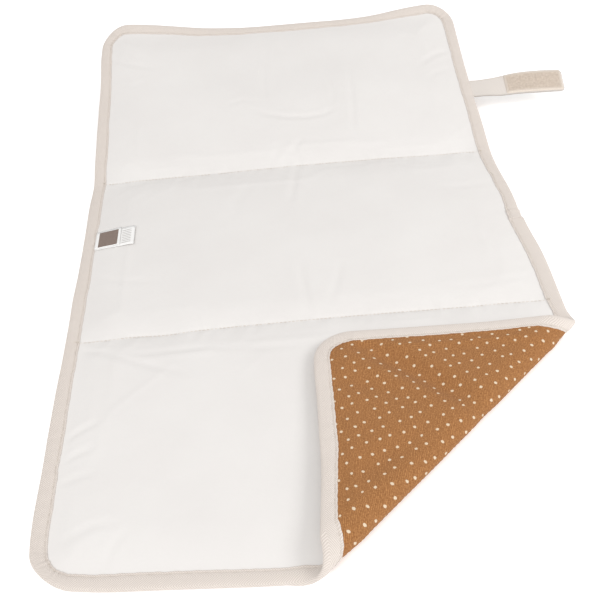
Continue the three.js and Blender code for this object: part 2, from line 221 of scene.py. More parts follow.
def settle(points):
    """Moves points of the flat pad to where they lie with the head lifted and the corner turned."""
    x, y, z = np.array(points, float).T
    across, along = stray(x, y)
    lift = curl(x, y)
    x, y = x + across, y + along
    # The head panel.
    slope, run_y, run_z = (np.interp(y, bend_at, path) for path in (bend_slope, bend_y, bend_z))
    rise = z - SEAM_LEVEL
    new_y = run_y - rise * np.sin(slope)
    new_z = SEAM_LEVEL + run_z + rise * np.cos(slope) + lift
    # The roll, and the corner beyond it.
    out = out_from_fold(x, y)
    angle = np.clip((out + ROLL) / (2 * ROLL), 0, 1) * math.pi
    radius = FOLD_LEVEL - z
    cosine, sine = math.cos(FOLD_DROP), math.sin(FOLD_DROP)
    rolled_out = -ROLL + (radius + ROLL_OUT) * np.sin(angle)
    rolled_z = FOLD_LEVEL - radius * np.cos(angle) - ROLL * sine * ramp(angle, 0, math.pi)
    flipped, far = out > ROLL, out > -ROLL
    shift = np.where(flipped, -out * cosine - radius * sine, rolled_out) - out
    corner_z = np.where(flipped, FOLD_LEVEL - out * sine + radius * cosine, rolled_z)
    corner_z -= sag(x, y) * ramp(angle, 1.2, 3.1)
    new_x = np.where(far, x + shift * fold_out[0], x)
    new_y = np.where(far, y + shift * fold_out[1], new_y)
    return spots(new_x, new_y, np.where(far, corner_z, new_z))


def roll_surplus(out):
    """How much longer the back's path round the roll is than on the flat pad."""
    angle = np.linspace(0, math.pi, 200)
    radius = FOLD_LEVEL - 0.6
    path = np.stack([(radius + ROLL_OUT) * np.sin(angle), radius * np.cos(angle)])
    flat = np.linspace(0, 2 * ROLL, 200)
    return np.interp(out, flat - ROLL, running_total(np.hypot(*np.diff(path, axis=1))) - flat)


# ---- Meshes ----


def grid_faces(rows, columns, closed=False):
    """Quads of a grid whose vertices run along its columns first."""
    i, j = np.meshgrid(np.arange(rows - 1), np.arange(columns if closed else columns - 1), indexing="ij")
    k = (j + 1) % columns
    quads = [i * columns + j, i * columns + k, (i + 1) * columns + k, (i + 1) * columns + j]
    return np.stack(quads, -1).reshape(-1, 4)


def vertex_normals(points, faces):
    a, b, c, d = (points[faces[:, i]] for i in range(4))
    normals = np.zeros_like(points)
    for i in range(4):
        np.add.at(normals, faces[:, i], np.cross(c - a, d - b))
    return normals / np.maximum(np.linalg.norm(normals, axis=1, keepdims=True), 1e-12)


def thicken(points, faces, uv, normals, depth):
    """Closes a sheet of cloth: a second face under the first, and a hem all round."""
    count = len(points)
    points = np.concatenate([points, points - depth * normals])
    sides = np.concatenate([np.stack([faces[:, i], faces[:, (i + 1) % 4]], 1) for i in range(4)])
    key = sides.min(1) * (2 * count) + sides.max(1)
    _, first, uses = np.unique(key, return_index=True, return_counts=True)
    start, end = sides[first[uses == 1]].T
    hem = np.stack([end, start, start + count, end + count], 1)
    faces = np.concatenate([faces, faces[:, ::-1] + count, hem])
    return points, faces, np.concatenate([uv, uv]), np.concatenate([normals, -normals])


def configure(target, **settings):
    for key, value in settings.items():
        setattr(target, key, value)


def add_object(name, data):
    made = bpy.data.objects.new(name, data)
    bpy.context.scene.collection.objects.link(made)
    return made


def add_mesh(name, points, faces):
    mesh = bpy.data.meshes.new(name)
    mesh.from_pydata(np.array(points).tolist(), [], np.array(faces).tolist())
    return add_object(name, mesh)


def make(name, points, faces, uv, material, normals=None, depth=0):
    """A smooth-shaded mesh object from points in millimetres; uv is given per vertex, in metres."""
    used, faces = np.unique(faces, return_inverse=True)
    faces, points, uv = faces.reshape(-1, 4), points[used], uv[used]
    if normals is not None:
        normals = normals[used]
    if depth:
        points, faces, uv, normals = thicken(points, faces, uv, normals, depth)
    made = add_mesh(name, points * MM, faces)
    mesh = made.data
    layer = mesh.uv_layers.new(name="UVMap")
    layer.data.foreach_set("uv", uv[faces.ravel()].astype(np.float32).ravel())
    mesh.polygons.foreach_set("use_smooth", np.ones(len(faces), bool))
    mesh.materials.append(material)
    if normals is not None:
        mesh.normals_split_custom_set_from_vertices(normals.tolist())
    mesh.update()
    return made


def join(parts):
    """One set of points, faces and uv from several."""
    points, faces, uvs = zip(*parts)
    starts = running_total([len(each) for each in points])
    faces = [each + start for each, start in zip(faces, starts)]
    return np.concatenate(points), np.concatenate(faces), np.concatenate(uvs)


def repeat(points, pattern):
    """Joins many like bodies, with points of shape (bodies, points each, 3) and one body's faces."""
    count, each = points.shape[:2]
    faces = (np.arange(count)[:, None, None] * each + pattern[None]).reshape(-1, 4)
    return points.reshape(-1, 3), faces


def bend(piece, near, far, start, end):
    """Bakes a piece's transform into its mesh; the two bodies and the two places, in millimetres, are not
    used.
    """
    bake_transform(piece)


HEAD_BLEND, FOOT_BLEND = 22.0, 15.0  # lengths on each side of the upper and lower folds
CORNER_EDGE = -ROLL - 1.5  # where the corner's pieces begin
CORNER_LEVELS = 8.7, 14.4  # two heights along the corner's joint
corner_slant = np.array([-0.1 * fold_out[0], -0.1 * fold_out[1], 1.0])
corner_start = np.array([fold_point[0], fold_point[1], CORNER_LEVELS[0]])
corner_rise = corner_slant * (CORNER_LEVELS[1] - CORNER_LEVELS[0]) / (corner_slant @ corner_slant)
head_start, head_end = settle([[0, SEAM + side * HEAD_BLEND, SEAM_LEVEL] for side in (-1, 1)])
FOLDS = {
    "upper": ("middle_panel", "head_panel", head_start, head_end),
    "lower": ("middle_panel", "foot_panel", (0, FOOT_BLEND - SEAM, 0), (0, -FOOT_BLEND - SEAM, 0)),
    "corner": ("foot_panel", "corner", corner_start, corner_start + corner_rise),
}
PANELS = {"upper": ("head", "middle"), "lower": ("foot",), "corner": ("corner",)}


def lay(name, flat, faces, uv, material, slot, stands_for, depth=0):
    """Settles a flat layer and cuts it into its upper, lower and corner pieces.

    Each stands for its panels' share of the named parts of the frame."""
    points = settle(flat)
    normals = vertex_normals(points, faces)
    middle = flat[faces].mean(1)
    corner = out_from_fold(middle[:, 0], middle[:, 1]) > CORNER_EDGE
    upper = ~corner & (middle[:, 1] > 0)
    for region, chosen in (("upper", upper), ("lower", ~corner & ~upper), ("corner", corner)):
        if chosen.any():
            piece = make(f"{name}_{region}", points, faces[chosen], uv, material, normals, depth)
            starts = tuple(f"{part}_{panel}" for part in stands_for for panel in PANELS[region])
            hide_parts(*(node for node in frame["nodes"] if node.startswith(starts)))
            bend(piece, *FOLDS[region])


# ---- Materials ----


class Value:
    """A node's output, which can be added to and multiplied."""

    def __init__(self, nodes, socket):
        self.nodes, self.socket = nodes, socket

    def __add__(self, other):
        return self.nodes.math("ADD", self, other)

    def __sub__(self, other):
        return self.nodes.math("SUBTRACT", self, other)

    def __mul__(self, other):
        return self.nodes.math("MULTIPLY", self, other)


class Nodes:
    """A short way to write a node material."""

    def __init__(self, name, roughness=0.6, sheen=0.0):
        self.material = bpy.data.materials.new(name)
        self.material.use_nodes = True
        self.tree = self.material.node_tree
        self.shader = self.tree.nodes["Principled BSDF"]
        start = {"Roughness": roughness, "Sheen Weight": sheen, "Specular IOR Level": 0.35}
        self.put(self.shader, start)

    def put(self, node, inputs):
        for key, value in inputs.items():
            if isinstance(value, Value):
                self.tree.links.new(value.socket, node.inputs[key])
            else:
                node.inputs[key].default_value = value

    def add(self, kind, inputs, output=0, **settings):
        node = self.tree.nodes.new(kind)
        configure(node, **settings)
        self.put(node, inputs)
        return Value(self, node.outputs[output])

    def math(self, operation, *values):
        return self.add("ShaderNodeMath", dict(enumerate(values)), operation=operation)

    def mix(self, factor, a, b):
        return self.add("ShaderNodeMix", {"Factor": factor, 6: a, 7: b}, 2, data_type="RGBA")

    def vector(self, x, y):
        return self.add("ShaderNodeCombineXYZ", {0: x, 1: y, 2: 0.0})

    def uv(self):
        """Distance along each side of the flat cloth, in metres, and the two as one vector."""
        place = self.add("ShaderNodeUVMap", {}, uv_map="UVMap")
        u, v = (self.add("ShaderNodeSeparateXYZ", {0: place}, i) for i in (0, 1))
        return u, v, self.vector(u, v)

    def noise(self, vector, scale, detail=2.0, roughness=0.5):
        inputs = {"Vector": vector, "Scale": scale, "Detail": detail, "Roughness": roughness}
        return self.add("ShaderNodeTexNoise", inputs, "Fac")

    def wave(self, value, period):
        """A 0 to 1 sine of a length."""
        return self.math("MULTIPLY_ADD", self.math("SINE", value * (2 * math.pi / period)), 0.5, 0.5)

    def bump(self, height, distance, strength=1.0, under=None):
        inputs = {"Strength": strength, "Distance": distance, "Height": height}
        return self.add("ShaderNodeBump", inputs | ({"Normal": under} if under else {}))

    def finish(self, colour, normal=None, **more):
        inputs = {"Base Color": colour} | ({"Normal": normal} if normal else {})
        self.put(self.shader, inputs | more)
        return self.material


def srgb(r, g, b):
    def linear(v):
        v /= 255
        return v / 12.92 if v <= 0.04045 else ((v + 0.055) / 1.055) ** 2.4

    return (linear(r), linear(g), linear(b), 1.0)


def coated_white():
    n = Nodes("coated_white")
    u, v, place = n.uv()
    patches = n.noise(place, 14, 3)
    weave = n.wave(u, 0.00055) + n.wave(v, 0.0006)
    slub = n.noise(n.vector(u * 0.25, v), 1800)
    colour = n.mix(patches, srgb(221, 217, 214), srgb(228, 225, 222))
    fine = n.bump(weave + slub, 0.00004, 0.5)
    soft = n.bump(n.noise(place, 90, 4, 0.6), 0.0006, 0.35, fine)
    return n.finish(colour, soft, Roughness=n.math("MULTIPLY_ADD", patches, 0.18, 0.42))


DOT_PITCH = 0.0095  # spacing of the printed dots, on average
DOT_TURN = 0.41  # angle of their rows to the pad's edge
DOT_RADII = 0.0008, 0.0013  # of a dot's solid middle and of its soft rim


def printed_dots(n, place):
    """1 on the dots and 0 between them; their rims are uneven, as ink on a knit is."""
    shaken = n.add("ShaderNodeTexNoise", {"Vector": place, "Scale": 700}, "Color")
    moves = {0: shaken, 1: (0.0007, 0.0007, 0), 2: place}
    jitter = n.add("ShaderNodeVectorMath", moves, operation="MULTIPLY_ADD")
    turn = {"Vector": jitter, "Angle": DOT_TURN}
    turned = n.add("ShaderNodeVectorRotate", turn, rotation_type="Z_AXIS")
    grid = {"Vector": turned, "Scale": 1 / DOT_PITCH, "Randomness": 0.36}
    cells = n.add("ShaderNodeTexVoronoi", grid, "Distance", feature="F1", voronoi_dimensions="2D")
    middle, rim = (radius / DOT_PITCH for radius in DOT_RADII)
    spread = {"Value": cells, "From Min": rim, "From Max": middle}
    return n.add("ShaderNodeMapRange", spread, interpolation_type="SMOOTHSTEP")


def dotted_jersey():
    n = Nodes("dotted_jersey", roughness=0.95, sheen=0.02)
    u, v, place = n.uv()
    dot = printed_dots(n, place)
    rib = n.wave(v + n.noise(place, 120) * 0.002, 0.00105)
    grain = (n.noise(place, 950, 3, 0.75) - 0.36) * 2.6
    ground = n.mix(n.noise(place, 420, 4, 0.7), srgb(150, 101, 56), srgb(222, 164, 107))
    ground = n.mix(rib * 0.6, ground, srgb(140, 88, 44))
    ground = n.mix(grain, ground, srgb(120, 74, 37))
    height = rib + n.wave(u, 0.0011) * 0.35 + n.noise(place, 2500) * 0.5
    knit = n.bump(height, 0.00018, 0.9)
    soft = n.bump(n.noise(place, 60, 3), 0.0008, 0.25, knit)
    return n.finish(n.mix(dot, ground, srgb(222, 203, 177)), soft)


TWILL_PITCH, TWILL_COLUMN = 0.0016, 0.0061  # spacing of the diagonals, and where they turn back


def herringbone(name, low, high):
    """Twill tape: diagonals that change direction from one column to the next."""
    n = Nodes(name, roughness=0.9, sheen=0.15)
    along, across, place = n.uv()
    ridge = n.wave(along + n.math("PINGPONG", across, TWILL_COLUMN), TWILL_PITCH)
    fuzz = n.noise(place, 1500, 3, 0.7)
    patches = n.noise(place, 45, 3)
    colour = n.mix(ridge * 0.8 + fuzz * 0.35 + patches * 0.1, low, high)
    weave = n.bump(ridge + n.wave(across, 0.0005) * 0.4 + fuzz * 0.6, 0.00016)
    return n.finish(colour, n.bump(patches, 0.0006, 0.3, weave))


def sewing_thread():
    n = Nodes("sewing_thread", sheen=0.1)
    u, v, _ = n.uv()
    twist = n.wave(u + v, 0.0005)
    return n.finish(n.mix(twist, srgb(205, 195, 184), srgb(228, 220, 210)), n.bump(twist, 0.00006, 0.7))


def fastener(name, low, high, scale, middle, half):
    """A hook or a loop patch: a dense mat of fine filaments inside a plain woven border."""
    n = Nodes(name, roughness=0.75, sheen=0.2)
    u, v, place = n.uv()
    fuzz = n.noise(place, scale, 5, 0.75)
    shade = n.wave(u, 0.0015) * n.wave(v, 0.0015) * 0.3 + fuzz * 0.5
    shade = shade + (n.noise(place, 420) - 0.3) * 0.9
    borders = [
        n.math("GREATER_THAN", n.math("ABSOLUTE", value - centre * MM), reach * MM)
        for value, centre, reach in ((u, middle, half), (v, STRAP_Y, 8.8))
    ]
    woven = n.mix(fuzz, srgb(198, 185, 171), srgb(228, 217, 206))
    colour = n.mix(n.math("MAXIMUM", *borders), n.mix(shade, low, high), woven)
    return n.finish(colour, n.bump(shade, 0.0004, 0.9))


def ribbon(name, ink_low, ink_high, u_range, v_range, barred):
    """A label: satin ribbon, with a plain woven block or a few plain printed bars."""
    n = Nodes(name, roughness=0.45, sheen=0.1)
    u, v, place = n.uv()
    satin = n.noise(n.vector(u * 0.15, v), 3000)
    ground = n.mix(satin, srgb(236, 234, 232), srgb(244, 243, 241))
    mask = n.math("GREATER_THAN", n.wave(v, 0.0026), 0.72) if barred else 1.0
    for value, (low, high) in ((u, u_range), (v, v_range)):
        mask = n.math("GREATER_THAN", value, low) * n.math("LESS_THAN", value, high) * mask
    ink = n.mix(satin if barred else n.noise(place, 500, 3), ink_low, ink_high)
    weave = n.wave(u, 0.0004) + n.wave(v, 0.0004)
    return n.finish(n.mix(mask, ground, ink), n.bump(weave + satin, 0.00005, 0.6))


STRAP_Y = SEAM + 98.0
STRAP_PATCH_START = 236.5
hook_middle = (STRAP_PATCH_START + box("hook_patch")[1][0]) / 2
loop_middle = sum(corner[0] for corner in box("loop_patch")) / 2
white = coated_white()
jersey = dotted_jersey()
tape = herringbone("binding_tape", srgb(197, 185, 176), srgb(229, 220, 212))
strap_tape = herringbone("strap_tape", srgb(196, 187, 180), srgb(223, 216, 209))
thread = sewing_thread()
hook_ground = fastener("hook_ground", srgb(184, 168, 152), srgb(230, 218, 205), 1500, hook_middle, 28.2)
loop_ground = fastener("loop_ground", srgb(188, 173, 158), srgb(228, 217, 205), 1100, loop_middle, 24.5)


# ---- Cloth ----

CELL = SEAM / 25  # spacing of the simulated grid; the seams fall on its rows
SIM = 0.01  # the simulation runs at ten times life size
CLOTH_CAP = 5.0  # furthest that the simulation may move a point


def drape(x, y, start, support, held, slack, frames):
    """Lays a slack sheet over its stuffing, held at its seams, and returns how its points moved."""
    faces = grid_faces(*x.shape)
    under = add_mesh("stuffing", spots(x, y, support).reshape(-1, 3) * SIM, faces)
    under.modifiers.new("Collision", "COLLISION")
    configure(under.collision, thickness_outer=0.002, cloth_friction=8)
    top = add_mesh("sheet", spots(x, y, start).reshape(-1, 3) * SIM, faces)
    group = top.vertex_groups.new(name="held")
    group.add(np.flatnonzero(held.ravel()).tolist(), 1.0, "REPLACE")
    cloth = top.modifiers.new("Cloth", "CLOTH")
    stretch = {"tension_stiffness": 25, "compression_stiffness": 25, "shear_stiffness": 12}
    configure(cloth.settings, quality=5, mass=0.25, bending_stiffness=0.6, air_damping=2, **stretch)
    configure(cloth.settings, vertex_group_mass="held", shrink_min=-slack)
    configure(cloth.collision_settings, distance_min=0.002, collision_quality=2, use_self_collision=False)
    configure(cloth.point_cache, frame_start=1, frame_end=frames)
    scene = bpy.context.scene
    for number in range(1, frames + 1):
        scene.frame_set(number)
    settled = top.evaluated_get(bpy.context.evaluated_depsgraph_get())
    found = np.zeros(x.size * 3, np.float32)
    settled.data.vertices.foreach_get("co", found)
    for made in (top, under):
        bpy.data.objects.remove(made)
    scene.frame_set(1)
    return found.reshape(*x.shape, 3) / SIM - spots(x, y, start)


def simulated(x, y, start, support, held, slack, frames):
    """How far the draped sheet moves, clipped to the cloth cap each way."""
    moved = drape(x, y, start, support, held, slack, frames)
    return np.clip(moved, -CLOTH_CAP, CLOTH_CAP)


def cloth_at(x, y, cloth):
    """A simulated grid of vectors, smoothly interpolated at any places."""
    grid_x, grid_y, grid = cloth
    rows, columns = grid.shape[:2]
    u = np.clip((y - grid_y[0, 0]) / (grid_y[1, 0] - grid_y[0, 0]), 0, rows - 1)
    v = np.clip((x - grid_x[0, 0]) / (grid_x[0, 1] - grid_x[0, 0]), 0, columns - 1)

    def weights(t):
        return (
            ((-t + 2) * t - 1) * t / 2,
            ((3 * t - 5) * t * t + 2) / 2,
            ((-3 * t + 4) * t + 1) * t / 2,
            (t - 1) * t * t / 2,
        )

    i, j = np.floor(u).astype(int), np.floor(v).astype(int)
    total = 0
    for a, row_weight in enumerate(weights(u - i)):
        for b, column_weight in enumerate(weights(v - j)):
            row, column = np.clip(i + a - 1, 0, rows - 1), np.clip(j + b - 1, 0, columns - 1)
            total = total + (row_weight * column_weight)[..., None] * grid[row, column]
    return total


lumps = noise_field(46, 11)
small_lumps = noise_field(19, 12)


def stuffing(x, y):
    """Height of the wadding's top face above the pad's underside."""
    full = THICK - 0.9 + 0.3 * lumps(x, y) + 0.12 * small_lumps(x, y)
    low = FLANGE - 0.5
    return low + (full - low) * swell(inset(x, y) - REACH + 1, 38) * swell(from_seam(y) - 1.0, 30)


def simulated_top():
    half = HALF_WIDTH - 6
    rows = round(2 * HALF_LENGTH / CELL) + 1
    columns = round(2 * half / CELL) + 1
    x, y = np.meshgrid(np.linspace(-half, half, columns), np.linspace(-HALF_LENGTH, HALF_LENGTH, rows))
    edge, support = inset(x, y), stuffing(x, y)
    held = (edge < REACH + 1.5) | (from_seam(y) < 0.5)
    start = np.where(held, FLANGE, support + 0.6)
    moved = simulated(x, y, start, support, held, slack=0.0028, frames=24)
    free = 0.12 + 0.38 * ramp(np.minimum(edge - REACH, from_seam(y)), 10, 48)
    z = free * (start + moved[..., 2]) + (1 - free) * (support + 0.2)
    return x, y, spots(moved[..., 0], moved[..., 1], np.where(edge < REACH, FLANGE, z))


def lines(low, high, pitch, seam_pitch=None):
    """Coordinates along one side of a grid, which may be closer together near the seam."""
    found = [low]
    while found[-1] < high - 1e-6:
        near = seam_pitch and abs(found[-1] - SEAM) < 14
        found.append(min(high, found[-1] + (seam_pitch if near else pitch)))
    return np.array(found)


def panel_grid(pitch_x, pitch_y):
    """A grid over the whole pad, finer along the seams, with a row at y = 0."""
    half = lines(0, HALF_LENGTH - 5, pitch_y, 1.0)
    return np.meshgrid(lines(5 - HALF_WIDTH, HALF_WIDTH - 5, pitch_x), np.concatenate([-half[:0:-1], half]))


def lay_sheet(name, x, y, slide, z, turn, uv, material, slot, stands_for):
    """Lays a cover sheet, without the quads of its grid that lie wholly under the binding."""
    faces = grid_faces(*x.shape)
    faces = faces[(inset(x.ravel(), y.ravel())[faces] > 6).any(1)][:, ::turn]
    flat = spots(x + slide[..., 0], y + slide[..., 1], z).reshape(-1, 3)
    lay(name, flat, faces, uv, material, slot, stands_for, SHEET)


pucker_head, pucker_foot, pucker_fine, pucker_wide = (
    noise_line(2 * HALF_WIDTH, step) for step in (6.5, 6.0, 3.1, 15.0)
)
pucker_side = noise_line(6 * HALF_LENGTH, 7.5)
pucker_end = noise_line(4 * HALF_WIDTH, 9.0)
slow_side = noise_line(6 * HALF_LENGTH, 40.0)


def gathers(x, y):
    """Small folds where the binding has drawn the sheet up."""
    cx, cy = HALF_WIDTH - np.abs(x), HALF_LENGTH - np.abs(y)
    sides = pucker_side(y + 2 * HALF_LENGTH * (x > 0) + 0.4 * cx) * np.exp(-np.clip(cx - REACH, 0, None) / 11)
    ends = pucker_end(x + HALF_WIDTH + 0.3 * cy) * np.exp(-np.clip(cy - REACH, 0, None) / 9)
    return 0.42 * sides * np.abs(slow_side(y + 2 * HALF_LENGTH)) + 0.22 * ends


def seam_puckers(x, y):
    """Short folds that run off the quilted seams."""
    d = from_seam(y)
    along = x + HALF_WIDTH + 0.35 * d
    chosen = np.where(y > 0, pucker_head(along), pucker_foot(along))
    reach = 0.95 * chosen * (d / (d + 1.5)) * np.exp(-d / 8.5)
    broad = 0.7 * pucker_wide(along + 40 * (y > 0)) * (d / (d + 2.5)) * np.exp(-d / 13)
    fine = 0.6 * pucker_fine(x + HALF_WIDTH) * np.exp(-d / 3.0)
    return np.maximum(reach + broad + fine, -0.4)  # the back lies close under the seam


def crease(x, y, path, width, depth):
    """A soft groove along a path of points, with a faint ridge on each side."""
    best, strength = np.full(np.shape(x), 1e9), 0
    for k, (a, b) in enumerate(zip(path[:-1], path[1:])):
        run_x, run_y = b[0] - a[0], b[1] - a[1]
        t = np.clip(((x - a[0]) * run_x + (y - a[1]) * run_y) / (run_x**2 + run_y**2), 0, 1)
        d = np.hypot(x - a[0] - t * run_x, y - a[1] - t * run_y)
        share = np.clip((k + t) / (len(path) - 1), 0.02, 0.98)
        strength = np.where(d < best, np.sin(math.pi * share) ** 0.6, strength)
        best = np.minimum(best, d)
    return -depth * strength * (1 - 1.2 * (best / width) ** 2) * bell(best, width)


def creases(x, y, paths):
    return sum(crease(x, y, *each) for each in paths)


# Creases that folding has left: across the fold for storage, and beside the seams and corners.
CREASES = [
    ([(-34, 205), (-20, 196), (-2, 190), (18, 187), (37, 189), (50, 196)], 4.0, 1.2),
    ([(-23, 210), (-21, 250), (-18, 306)], 4.5, 0.35),
    ([(48, 200), (52, 226), (46, 248)], 4.0, 0.4),
    ([(66, 156), (70, 204), (73, 262)], 4.2, 0.7),
    ([(-64, 214), (-46, 222), (-30, 216)], 4.0, 0.4),
    ([(186, 276), (166, 268), (148, 252)], 4.5, 0.8),
    ([(184, 246), (166, 240), (152, 228)], 4.0, 0.4),
    ([(-186, 300), (-166, 290), (-140, 282)], 4.5, 0.6),
    ([(-184, 262), (-164, 258), (-146, 262)], 4.0, 0.4),
    ([(10, 122), (2, 138), (12, 156)], 5.0, 0.9),
    ([(-22, 122), (-14, 136), (-18, 150)], 4.5, 0.5),
    ([(2, 112), (-1, 84), (-7, 50)], 5.0, 1.0),
    ([(-40, 96), (-58, 60), (-62, 30)], 8.0, 0.4),
    ([(40, 96), (52, 60), (64, 26)], 8.0, 0.4),
    ([(-5, -40), (-4, -74), (-1, -110)], 5.0, 0.9),
    ([(30, -46), (24, -74), (15, -104)], 5.0, 0.6),
    ([(-186, -34), (-158, -46), (-126, -50)], 5.0, 0.4),
    ([(-186, -125), (-158, -139), (-129, -154), (-100, -167)], 4.2, 0.9),
    ([(-176, -128), (-136, -141), (-90, -139), (-40, -146), (4, -148)], 4.5, 0.7),
    ([(-187, -221), (-177, -214), (-163, -208)], 3.2, 1.1),
    ([(-187, -242), (-177, -236), (-164, -232)], 3.2, 1.0),
    ([(-187, -262), (-176, -258), (-162, -256)], 3.4, 0.7),
    ([(-178, -312), (-160, -302), (-140, -300)], 4.5, 0.6),
    ([(-150, -336), (-144, -318), (-136, -306)], 4.0, 0.5),
    ([(184, 60), (160, 54), (130, 56)], 5.0, 0.35),
    ([(186, -84), (150, -92), (110, -92)], 5.0, 0.35),
]


def white_top():
    """The quilted sheet. Returns its flat shape, on which the labels lie."""
    x, y = panel_grid(2.3, 3.0)
    found = cloth_at(x, y, simulated_top())
    inside = ramp(inset(x, y), REACH, REACH + 6)
    folds = seam_puckers(x, y) + gathers(x, y) - 0.35 * bell(from_seam(y), 1.6)
    z = found[..., 2] + (folds + creases(x, y, CREASES)) * inside
    slide, parts = found * inside[..., None], ["top_cover", "wadding"]
    lay_sheet("white_cover", x, y, slide, z, 1, flat_uv(x, y), white, "coated_white", parts)
    return x[0], y[:, 0], z


# ---- The jersey back ----

# Soft hollows in the turned corner, near its tip and along its far edge.
CORNER_DENTS = [
    ([(192, -322), (166, -296), (134, -262), (108, -236)], 13, 5.2),
    ([(150, -340), (136, -304), (112, -276)], 13, 1.8),
    ([(50, -330), (72, -300), (100, -262)], 14, 2.0),
]


def back_swell(x, y):
    """How far the back stands out from the flattened edge, where nothing presses on it."""
    return np.minimum(swell(inset(x, y) - REACH - 0.5, 17), swell(from_seam(y) - 1.5, 15))


def simulated_back():
    """The turned corner's jersey, drawn over its wadding, as height over the flattened edge."""
    left, top, pitch = -40.0, -110, 4.5
    columns = int((HALF_WIDTH - left) / pitch) + 1
    rows = int((HALF_LENGTH + top) / pitch) + 1
    x, y = np.meshgrid(np.linspace(left, HALF_WIDTH, columns), np.linspace(-HALF_LENGTH, top, rows))
    support = (3.2 + 0.5 * lumps(x, y)) * back_swell(x, y)
    held = inset(x, y) < REACH + 1.5
    held[-1, :] = held[:, 0] = True
    start = np.where(held, support, support + 0.9)
    moved = simulated(x, y, start, support, held, slack=0.006, frames=20)
    return x, y, moved + spots(0, 0, start)


def jersey_back():
    x, y = panel_grid(2.6, 3.2)
    found = cloth_at(x, y, simulated_back())
    out = out_from_fold(x, y)
    free = ramp(out, -ROLL, 10)
    inside = ramp(inset(x, y), REACH, REACH + 6)
    level = 1.2  # of the flattened edge
    resting = level - (level - 0.05) * back_swell(x, y)
    resting += 0.35 * np.exp(-from_seam(y) / 4) * np.abs(pucker_fine(x + HALF_WIDTH)) * inside
    turned = level - found[..., 2] * 0.62 - creases(x, y, CORNER_DENTS) * inside
    z = resting * (1 - free) + turned * free
    slide = (free * inside)[..., None] * found
    longer = roll_surplus(out)
    uv = flat_uv(x + longer * fold_out[0], y + longer * fold_out[1])
    lay_sheet("jersey_back", x, y, slide, z, -1, uv, jersey, "dotted_jersey", ["back_cover"])


# ---- The binding ----


def edge_path(step=2.0, arc_step=1.5):
    """Points clockwise along the pad's outer edge, with the inward direction and the distance run."""
    x, y = HALF_WIDTH - RADIUS, HALF_LENGTH - RADIUS
    stops = [(-HALF_WIDTH, 0), (-HALF_WIDTH, y), (-x, HALF_LENGTH), (x, HALF_LENGTH), (HALF_WIDTH, y)]
    stops = np.array(stops + [(-a, -b) for a, b in stops] + [(-HALF_WIDTH, 0)])
    points, inward = [], []
    for a, b in zip(stops[:-1], stops[1:]):
        if (a == b).any():
            length = math.dist(a, b)
            count = max(1, round(length / step))
            points += [a + (b - a) * i / count for i in range(count)]
            inward += [(b - a)[::-1] * (1, -1) / length] * count
        else:
            centre = np.sign(b) * (x, y)
            count = int(RADIUS * math.pi / 2 / arc_step)
            for angle in math.atan2(*(a - centre)[::-1]) - (math.pi / 2) * np.arange(count) / count:
                out = np.array([math.cos(angle), math.sin(angle)])
                points.append(centre + RADIUS * out)
                inward.append(-out)
    points, inward = np.array([*points, b]), np.array([*inward, (1, 0)])
    return points, inward, running_total(np.linalg.norm(np.diff(points, axis=0), axis=1))


path_points, path_inward, path_run = edge_path()
PERIMETER = path_run[-1]


def looped(step):
    """A wandering value that meets itself after one turn of the pad's edge."""
    wander = noise_line(PERIMETER, step)

    def value(run):
        fade = ramp(run, PERIMETER - 2 * step, PERIMETER)
        return wander(run) * (1 - fade) + wander(0 * run) * fade

    return value


edge_wave, lip_wave, lip_fine, edge_lift, under_wave = (looped(step) for step in (38, 17, 5.5, 52, 21))
STITCH_PITCH = 3.0
STITCH_ROW = 1.6  # in from the lip


def lip(run, side):
    """How far the tape reaches in over the face; side 1 is the white face and -1 the back."""
    scallop = 0.12 * np.cos(2 * math.pi * run / STITCH_PITCH)
    if side > 0:
        return REACH + 0.5 * lip_wave(run) + 0.25 * lip_fine(run) + scallop
    return REACH + 0.45 * under_wave(run) + 0.2 * lip_fine(run) + 1.3 * scallop


# Across the tape from its lip on the white face, round the edge, to its lip on the back: first
# the share of the reach, then an addition to it, then the height as a share of the edge's height.
HALF_SECTION = [(1, more) for more in (-0.30, 0.00, -0.08, -0.70, -1.20, -1.60, -2.00, -2.80)]
HALF_SECTION += [(share, 0) for share in (0.60, 0.45, 0.30, 0.18, 0.08, 0.02, 0)]
HEIGHTS = [0.66, 0.74, 0.84, 0.90, 0.88, 0.84, 0.88, 0.95, 1.0, 1.01, 0.99, 0.94, 0.84, 0.69, 0.50]
HEIGHTS += [0.31, 0.16, 0.06, 0.01, 0, 0, 0.04, 0.10, 0.14, 0.10, 0.08, 0.14, 0.22, 0.32]
SECTION = [(*step, height) for step, height in zip(HALF_SECTION + HALF_SECTION[-2::-1], HEIGHTS)]


def edge_frame(run):
    """Edge point and inward direction at any distance round the pad."""
    point, inward = (
        np.stack([np.interp(run, path_run, path[:, i]) for i in (0, 1)], -1)
        for path in (path_points, path_inward)
    )
    return point, inward / np.linalg.norm(inward, axis=-1, keepdims=True)


LAP_AT = path_run[np.argmin(np.abs(path_points[:, 0] - HALF_WIDTH) + np.abs(path_points[:, 1]))]


